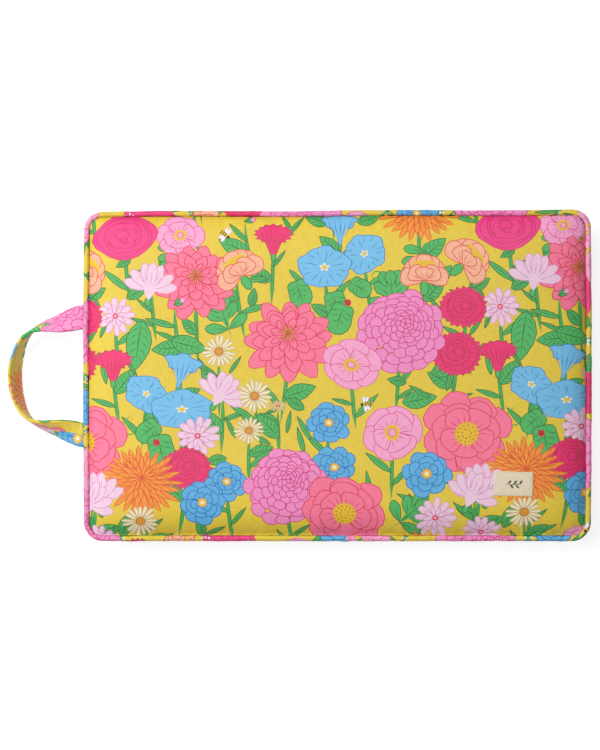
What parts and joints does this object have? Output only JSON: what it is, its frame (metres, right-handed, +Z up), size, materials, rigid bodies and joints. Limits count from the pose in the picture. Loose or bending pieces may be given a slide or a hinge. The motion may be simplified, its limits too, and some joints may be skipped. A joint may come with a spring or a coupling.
{
  "type": "garden kneeling pad",
  "caption": "Foam kneeling pad in a removable printed cloth cover with piped seams, a zip along one long side and a fabric carry loop on one short side.",
  "frame": {"origin": "centre of the flat resting face of the pad", "axes": "+X along the long side, away from the carry strap; +Y across, away from the zip; +Z up, out of the kneeling face"},
  "size_m": [0.5326, 0.3, 0.0505],
  "materials": {
    "printed_cloth": "matt woven cotton with a multicolour flower print",
    "printed_bias": "matt woven cotton with a multicolour flower print, cut on the bias",
    "strap_cloth": "matt woven cotton with a multicolour flower print",
    "foam": "open-cell cushion foam",
    "cotton_cord": "soft twisted cotton",
    "webbing": "flat cotton webbing",
    "label_cotton": "unbleached cotton",
    "thread": "polyester sewing thread",
    "zip_tape": "woven polyester tape",
    "zip_coil": "moulded polyester filament",
    "slider_metal": "nickel-plated zinc"
  },
  "bodies": {
    "pad": {"foam_core": "foam", "top_panel": "printed_cloth", "bottom_panel": "printed_cloth", "gusset_band": "printed_cloth", "zip_strip_upper": "printed_cloth", "zip_strip_lower": "printed_cloth", "top_piping_cover": "printed_bias", "top_piping_cord": "cotton_cord", "bottom_piping_cover": "printed_bias", "bottom_piping_cord": "cotton_cord", "zip_tape_upper": "zip_tape", "zip_tape_lower": "zip_tape", "zip_teeth_upper": "zip_coil", "zip_teeth_lower": "zip_coil", "zip_end_stops": "slider_metal", "zip_topstitching": "thread", "label_patch": "label_cotton", "label_stitching": "thread", "carry_strap_ends": "strap_cloth"},
    "slider": {"zip_slider": "slider_metal"},
    "pull_tab": {"zip_pull_tab": "slider_metal"},
    "carry_strap": {"carry_strap_cover": "strap_cloth", "carry_strap_webbing": "webbing", "carry_strap_stitching": "thread"}
  },
  "joints": [
    {"name": "zip_slide", "type": "slide", "parent": "pad", "child": "slider", "axis": [-1, 0, 0], "range_m": [0, 0.365]},
    {"name": "pull_tab_flip", "type": "hinge", "parent": "slider", "child": "pull_tab", "pos_m": [0.1795, -0.1485, 0.0204], "axis": [0, 0, 1], "range_deg": [0, 175]},
    {"name": "strap_swing", "type": "hinge", "parent": "pad", "child": "carry_strap", "pos_m": [-0.235, 0, 0.0336], "axis": [0, 1, 0], "range_deg": [0, 100]}
  ]
}
